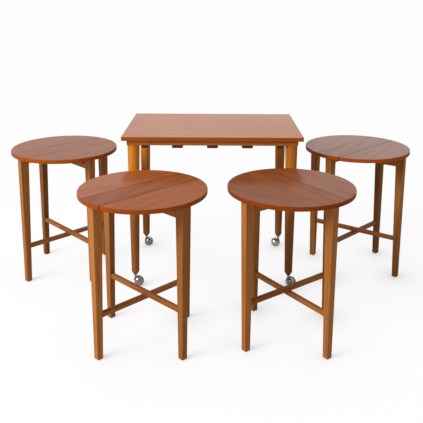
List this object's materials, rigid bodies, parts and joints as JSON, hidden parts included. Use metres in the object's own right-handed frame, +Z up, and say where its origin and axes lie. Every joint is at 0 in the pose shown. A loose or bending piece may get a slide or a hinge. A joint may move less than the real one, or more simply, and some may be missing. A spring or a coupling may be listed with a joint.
{
  "type": "nesting table with folding side tables",
  "caption": "Rectangular occasional table on ball castors with folding round gate-leg side tables that stow on runners under its top.",
  "frame": {"origin": "on the floor, at the middle of the box round the whole group", "axes": "+Z up, +X along the table's long side, and -Y towards the two round tables that stand in front"},
  "size_m": [1.658, 1.0334, 0.624],
  "materials": {
    "table_top_teak": "oiled teak veneer, satin, lighter and pinker than the rest",
    "round_top_teak": "oiled teak, satin, red brown, grain along the seams",
    "leg_teak": "oiled solid teak, golden brown, eased arrises",
    "rail_teak": "dark oiled teak",
    "polished_chrome": "polished chrome plate"
  },
  "bodies": {
    "table": {"table_top": "table_top_teak", "front_rail": "rail_teak", "back_rail": "rail_teak", "left_side_rail": "rail_teak", "right_side_rail": "rail_teak", "left_runner": "rail_teak", "middle_runner": "rail_teak", "right_runner": "rail_teak", "table_front_left_leg": "leg_teak", "table_front_right_leg": "leg_teak", "table_rear_left_leg": "leg_teak", "table_rear_right_leg": "leg_teak"},
    "front_left_castor_swivel": {"front_left_castor_hood": "polished_chrome"},
    "front_left_castor_roller": {"front_left_castor_wheel": "polished_chrome"},
    "front_right_castor_swivel": {"front_right_castor_hood": "polished_chrome"},
    "front_right_castor_roller": {"front_right_castor_wheel": "polished_chrome"},
    "rear_left_castor_swivel": {"rear_left_castor_hood": "polished_chrome"},
    "rear_left_castor_roller": {"rear_left_castor_wheel": "polished_chrome"},
    "rear_right_castor_swivel": {"rear_right_castor_hood": "polished_chrome"},
    "rear_right_castor_roller": {"rear_right_castor_wheel": "polished_chrome"},
    "front_left_stool_frame": {"front_left_centre_board": "round_top_teak", "front_left_first_fixed_leg": "leg_teak", "front_left_second_fixed_leg": "leg_teak", "front_left_fixed_stretcher": "leg_teak"},
    "front_left_stool_gate": {"front_left_first_gate_leg": "leg_teak", "front_left_second_gate_leg": "leg_teak", "front_left_gate_rail": "leg_teak", "front_left_gate_stretcher": "leg_teak"},
    "front_left_stool_left_leaf": {"front_left_left_leaf": "round_top_teak"},
    "front_left_stool_right_leaf": {"front_left_right_leaf": "round_top_teak"},
    "front_right_stool_frame": {"front_right_centre_board": "round_top_teak", "front_right_first_fixed_leg": "leg_teak", "front_right_second_fixed_leg": "leg_teak", "front_right_fixed_stretcher": "leg_teak"},
    "front_right_stool_gate": {"front_right_first_gate_leg": "leg_teak", "front_right_second_gate_leg": "leg_teak", "front_right_gate_rail": "leg_teak", "front_right_gate_stretcher": "leg_teak"},
    "front_right_stool_left_leaf": {"front_right_left_leaf": "round_top_teak"},
    "front_right_stool_right_leaf": {"front_right_right_leaf": "round_top_teak"},
    "rear_left_stool_frame": {"rear_left_centre_board": "round_top_teak", "rear_left_first_fixed_leg": "leg_teak", "rear_left_second_fixed_leg": "leg_teak", "rear_left_fixed_stretcher": "leg_teak"},
    "rear_left_stool_gate": {"rear_left_first_gate_leg": "leg_teak", "rear_left_second_gate_leg": "leg_teak", "rear_left_gate_rail": "leg_teak", "rear_left_gate_stretcher": "leg_teak"},
    "rear_left_stool_left_leaf": {"rear_left_left_leaf": "round_top_teak"},
    "rear_left_stool_right_leaf": {"rear_left_right_leaf": "round_top_teak"},
    "rear_right_stool_frame": {"rear_right_centre_board": "round_top_teak", "rear_right_first_fixed_leg": "leg_teak", "rear_right_second_fixed_leg": "leg_teak", "rear_right_fixed_stretcher": "leg_teak"},
    "rear_right_stool_gate": {"rear_right_first_gate_leg": "leg_teak", "rear_right_second_gate_leg": "leg_teak", "rear_right_gate_rail": "leg_teak", "rear_right_gate_stretcher": "leg_teak"},
    "rear_right_stool_left_leaf": {"rear_right_left_leaf": "round_top_teak"},
    "rear_right_stool_right_leaf": {"rear_right_right_leaf": "round_top_teak"}
  },
  "joints": [
    {"name": "front_left_castor_swivel_turn", "type": "hinge", "parent": "table", "child": "front_left_castor_swivel", "pos_m": [-0.303, 0.07375, 0.052], "axis": [0, 0, 1], "continuous": true},
    {"name": "front_left_castor_roll", "type": "hinge", "parent": "front_left_castor_swivel", "child": "front_left_castor_roller", "pos_m": [-0.29153, 0.08178, 0.021], "axis": [0.3838, -0.5481, 0.7431], "continuous": true},
    {"name": "front_right_castor_swivel_turn", "type": "hinge", "parent": "table", "child": "front_right_castor_swivel", "pos_m": [0.31, 0.07375, 0.052], "axis": [0, 0, 1], "continuous": true},
    {"name": "front_right_castor_roll", "type": "hinge", "parent": "front_right_castor_swivel", "child": "front_right_castor_roller", "pos_m": [0.32147, 0.08178, 0.021], "axis": [0.3838, -0.5481, 0.7431], "continuous": true},
    {"name": "rear_left_castor_swivel_turn", "type": "hinge", "parent": "table", "child": "rear_left_castor_swivel", "pos_m": [-0.303, 0.48175, 0.052], "axis": [0, 0, 1], "continuous": true},
    {"name": "rear_left_castor_roll", "type": "hinge", "parent": "rear_left_castor_swivel", "child": "rear_left_castor_roller", "pos_m": [-0.294, 0.49247, 0.021], "axis": [0.5126, -0.4301, 0.7431], "continuous": true},
    {"name": "rear_right_castor_swivel_turn", "type": "hinge", "parent": "table", "child": "rear_right_castor_swivel", "pos_m": [0.31, 0.48175, 0.052], "axis": [0, 0, 1], "continuous": true},
    {"name": "rear_right_castor_roll", "type": "hinge", "parent": "rear_right_castor_swivel", "child": "rear_right_castor_roller", "pos_m": [0.29928, 0.49075, 0.021], "axis": [0.4301, 0.5126, 0.7431], "continuous": true},
    {"name": "front_left_stool_lift", "type": "slide", "parent": "table", "child": "front_left_stool_frame", "axis": [0, 0, 1], "range_m": [0, 0.25]},
    {"name": "front_left_gate_turn", "type": "hinge", "parent": "front_left_stool_frame", "child": "front_left_stool_gate", "pos_m": [-0.225, -0.30225, 0.4945], "axis": [0, 0, 1], "range_deg": [-81.8, 79.8]},
    {"name": "front_left_left_leaf_hinge", "type": "hinge", "parent": "front_left_stool_frame", "child": "front_left_stool_left_leaf", "pos_m": [-0.25812, -0.26913, 0.5155], "axis": [0.7071, 0.7071, 0], "range_deg": [0, 2]},
    {"name": "front_left_right_leaf_hinge", "type": "hinge", "parent": "front_left_stool_frame", "child": "front_left_stool_right_leaf", "pos_m": [-0.19188, -0.33537, 0.5155], "axis": [-0.7071, -0.7071, 0], "range_deg": [0, 2]},
    {"name": "front_right_stool_lift", "type": "slide", "parent": "table", "child": "front_right_stool_frame", "axis": [0, 0, 1], "range_m": [0, 0.25]},
    {"name": "front_right_gate_turn", "type": "hinge", "parent": "front_right_stool_frame", "child": "front_right_stool_gate", "pos_m": [0.27, -0.26875, 0.4945], "axis": [0, 0, 1], "range_deg": [-82.4, 79.2]},
    {"name": "front_right_left_leaf_hinge", "type": "hinge", "parent": "front_right_stool_frame", "child": "front_right_stool_left_leaf", "pos_m": [0.23182, -0.29588, 0.5155], "axis": [-0.5793, 0.8151, 0], "range_deg": [0, 2]},
    {"name": "front_right_right_leaf_hinge", "type": "hinge", "parent": "front_right_stool_frame", "child": "front_right_stool_right_leaf", "pos_m": [0.30818, -0.24162, 0.5155], "axis": [0.5793, -0.8151, 0], "range_deg": [0, 2]},
    {"name": "rear_left_stool_lift", "type": "slide", "parent": "table", "child": "rear_left_stool_frame", "axis": [0, 0, 1], "range_m": [0, 0.25]},
    {"name": "rear_left_gate_turn", "type": "hinge", "parent": "rear_left_stool_frame", "child": "rear_left_stool_gate", "pos_m": [-0.6145, 0.25225, 0.4945], "axis": [0, 0, 1], "range_deg": [-79.4, 82.2]},
    {"name": "rear_left_left_leaf_hinge", "type": "hinge", "parent": "rear_left_stool_frame", "child": "rear_left_stool_left_leaf", "pos_m": [-0.64773, 0.28525, 0.5155], "axis": [0.7046, 0.7096, 0], "range_deg": [0, 2]},
    {"name": "rear_left_right_leaf_hinge", "type": "hinge", "parent": "rear_left_stool_frame", "child": "rear_left_stool_right_leaf", "pos_m": [-0.58127, 0.21925, 0.5155], "axis": [-0.7046, -0.7096, 0], "range_deg": [0, 2]},
    {"name": "rear_right_stool_lift", "type": "slide", "parent": "table", "child": "rear_right_stool_frame", "axis": [0, 0, 1], "range_m": [0, 0.25]},
    {"name": "rear_right_gate_turn", "type": "hinge", "parent": "rear_right_stool_frame", "child": "rear_right_stool_gate", "pos_m": [0.6145, 0.28825, 0.4945], "axis": [0, 0, 1], "range_deg": [-90.8, 70.8]},
    {"name": "rear_right_left_leaf_hinge", "type": "hinge", "parent": "rear_right_stool_frame", "child": "rear_right_stool_left_leaf", "pos_m": [0.5815, 0.32148, 0.5155], "axis": [0.7096, 0.7046, 0], "range_deg": [0, 2]},
    {"name": "rear_right_right_leaf_hinge", "type": "hinge", "parent": "rear_right_stool_frame", "child": "rear_right_stool_right_leaf", "pos_m": [0.6475, 0.25502, 0.5155], "axis": [-0.7096, -0.7046, 0], "range_deg": [0, 2]}
  ]
}
